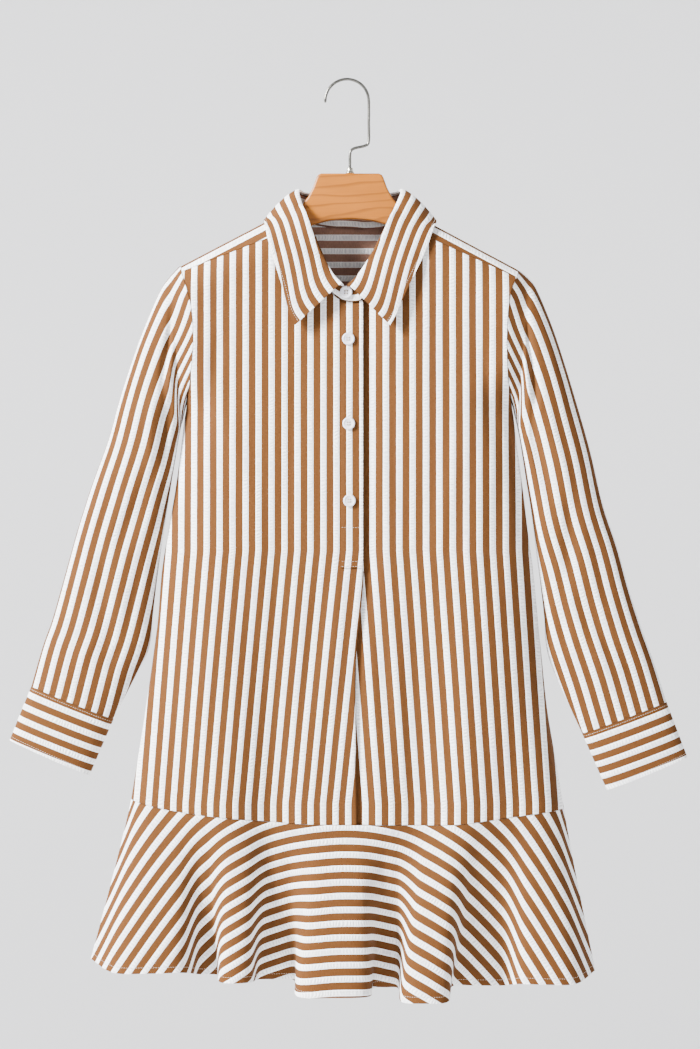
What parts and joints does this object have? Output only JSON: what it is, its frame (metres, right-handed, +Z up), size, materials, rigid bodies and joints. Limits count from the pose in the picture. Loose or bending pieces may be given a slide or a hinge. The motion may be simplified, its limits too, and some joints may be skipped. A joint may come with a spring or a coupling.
{
  "type": "shirt dress on a hanger",
  "caption": "Long-sleeved striped shirt dress with collar, half placket, pleat and hem flounce, hanging on a wooden hanger with a wire hook.",
  "frame": {"origin": "inside top of the hanger's hook, where a rail or wall hook carries it", "axes": "+Z up, the front faces -Y, +X to the viewer's right of the front"},
  "size_m": [0.7787, 0.1272, 1.0538],
  "materials": {
    "cloth": "striped seersucker, brown and white",
    "button": "polished white",
    "wood": "clear satin varnish",
    "steel": "bright wire"
  },
  "bodies": {
    "root": {"front": "cloth", "back": "cloth", "yoke": "cloth", "collar_leaf": "cloth", "collar_stand": "cloth", "placket_over": "cloth", "placket_under": "cloth", "sleeve_left": "cloth", "sleeve_right": "cloth", "cuff_left": "cloth", "cuff_right": "cloth", "flounce_front": "cloth", "flounce_back": "cloth", "button_stand": "button", "button_1": "button", "button_2": "button", "button_3": "button", "hanger_body": "wood", "hanger_hook": "steel", "hanger_ferrule": "steel"}
  },
  "joints": []
}
